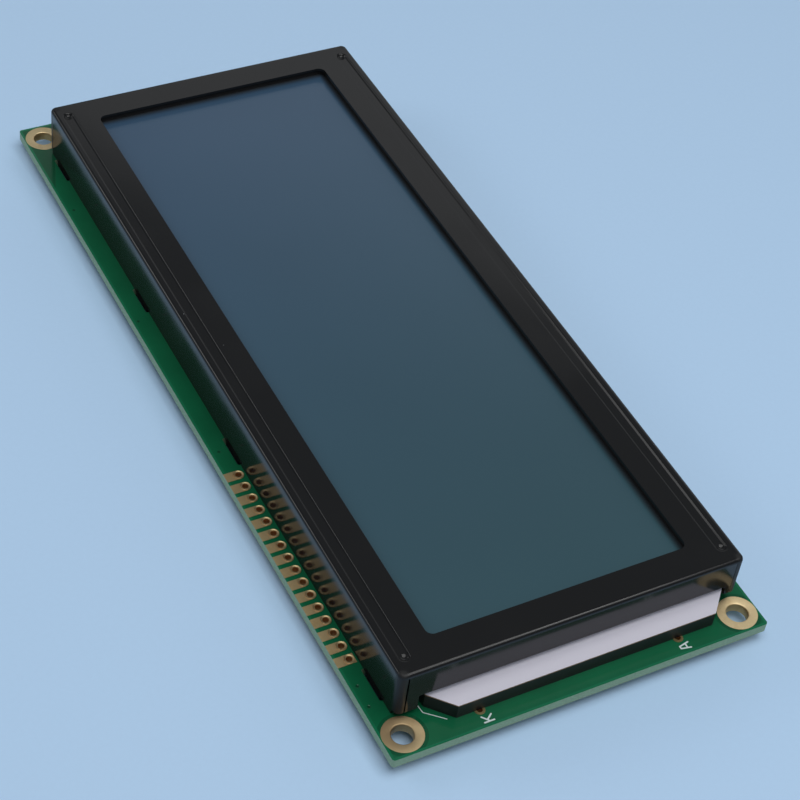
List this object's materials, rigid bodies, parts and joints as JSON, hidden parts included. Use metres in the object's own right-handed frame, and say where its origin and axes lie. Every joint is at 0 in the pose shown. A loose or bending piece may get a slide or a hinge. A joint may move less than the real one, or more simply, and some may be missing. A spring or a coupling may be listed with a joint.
{
  "type": "character lcd module",
  "caption": "Flat character display module: black pressed bezel over a glass panel on a green board, with a row of edge pads and corner mounting holes.",
  "frame": {"origin": "under the middle of the circuit board, on the surface that the module lies on", "axes": "+X is the reading direction along the display, +Y is up on the display, +Z comes out of the screen"},
  "size_m": [0.146, 0.0624, 0.0126],
  "materials": {
    "green_board": "satin",
    "gold_plating": "satin",
    "black_bezel": "gloss",
    "black_foam": "matt",
    "polarizer": "gloss",
    "cell_glass": "gloss",
    "seal": "matt",
    "crystal": "gloss",
    "strip_rubber": "matt",
    "white_plastic": "matt",
    "black_plastic": "satin",
    "clear_plastic": "gloss",
    "white_film": "satin",
    "tinned_metal": "satin",
    "resin": "gloss",
    "chip_body": "satin",
    "capacitor_body": "satin"
  },
  "bodies": {
    "root": {"circuit_board": "green_board", "corner_hole_rings": "gold_plating", "header_pad_one": "gold_plating", "header_pads": "gold_plating", "terminal_pads": "gold_plating", "bezel": "black_bezel", "window_gasket": "black_foam", "front_polarizer": "polarizer", "front_glass": "cell_glass", "cell_seal": "seal", "liquid_crystal": "crystal", "rear_glass": "cell_glass", "rear_polarizer": "polarizer", "rubber_strip": "strip_rubber", "glass_frame": "white_plastic", "backlight_tray": "black_plastic", "backlight_cover_sheet": "white_film", "diffuser_film": "white_film", "light_guide": "clear_plastic", "reflector_film": "white_film", "led_strip_board": "green_board", "backlight_leds": "white_plastic", "cathode_pin": "tinned_metal", "anode_pin": "tinned_metal", "terminal_solder": "tinned_metal", "controller_dome": "resin", "driver_dome_1": "resin", "driver_dome_2": "resin", "driver_dome_3": "resin", "driver_dome_4": "resin", "resistor_1": "chip_body", "resistor_2": "chip_body", "resistor_3": "chip_body", "resistor_4": "chip_body", "resistor_5": "chip_body", "resistor_6": "chip_body", "capacitor_1": "capacitor_body", "capacitor_2": "capacitor_body", "capacitor_3": "capacitor_body"}
  },
  "joints": []
}
